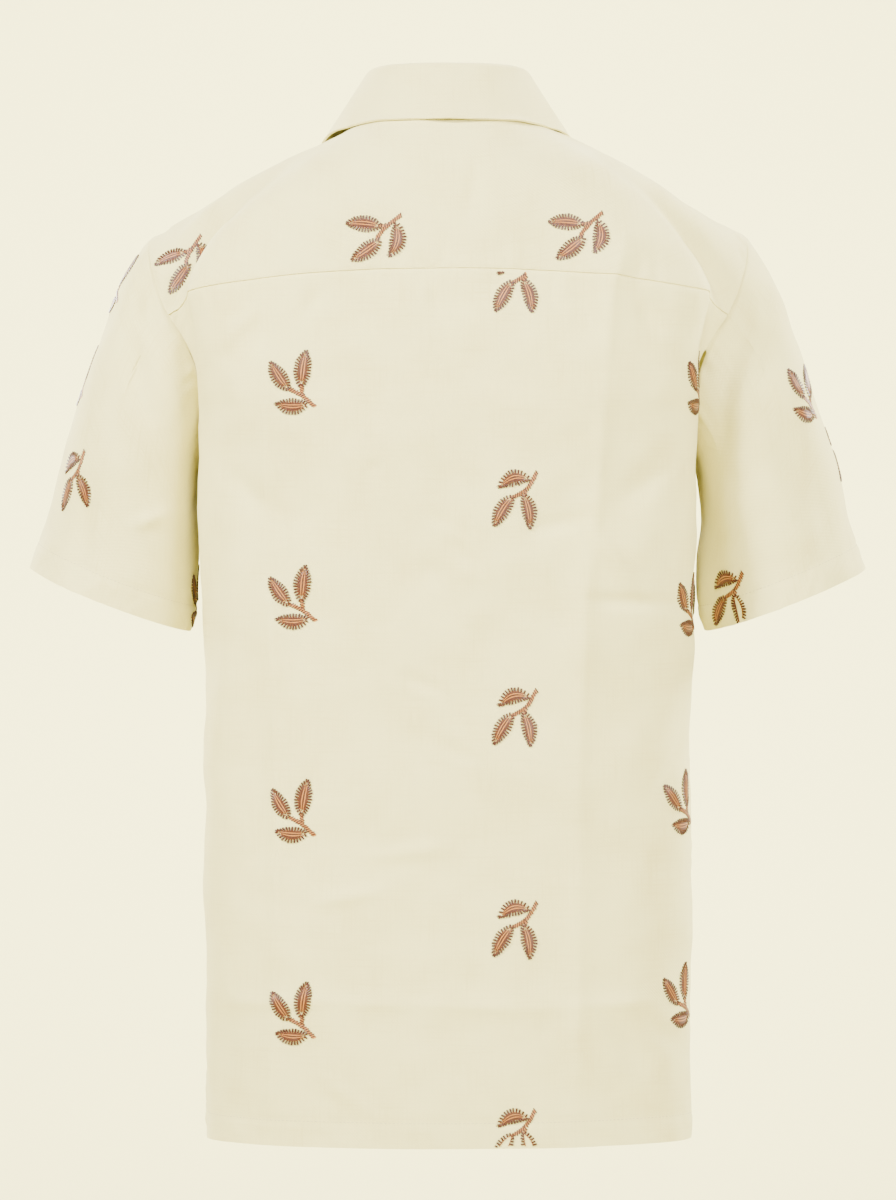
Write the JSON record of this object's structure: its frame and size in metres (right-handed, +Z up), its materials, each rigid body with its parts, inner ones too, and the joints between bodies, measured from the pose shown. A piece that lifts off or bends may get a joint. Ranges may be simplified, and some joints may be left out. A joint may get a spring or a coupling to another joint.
{
  "type": "embroidered camp-collar short-sleeved shirt",
  "caption": "Short-sleeved shirt with a flat open collar, back yoke and button front, filled out as worn, for scattered leaf-sprig embroidery.",
  "frame": {"origin": "base of the neck, midway between the shoulders, where the wearer holds the shirt up", "axes": "+Z up, the front faces -Y, the wearer's left is +X"},
  "size_m": [0.618, 0.258, 0.788],
  "materials": {
    "cloth": "plain-woven cotton and linen, cream, pressed",
    "button": "polished, cream, faintly pearled",
    "embroidery": "copper-brown rayon thread, satin and seed stitches"
  },
  "bodies": {
    "root": {"back_panel": "cloth", "back_yoke": "cloth", "front_left": "cloth", "front_right": "cloth", "sleeve_left": "cloth", "sleeve_right": "cloth", "collar": "cloth", "lapel_left": "cloth", "lapel_right": "cloth", "button_1": "button", "button_2": "button", "button_3": "button", "button_4": "button", "button_5": "button"}
  },
  "joints": []
}
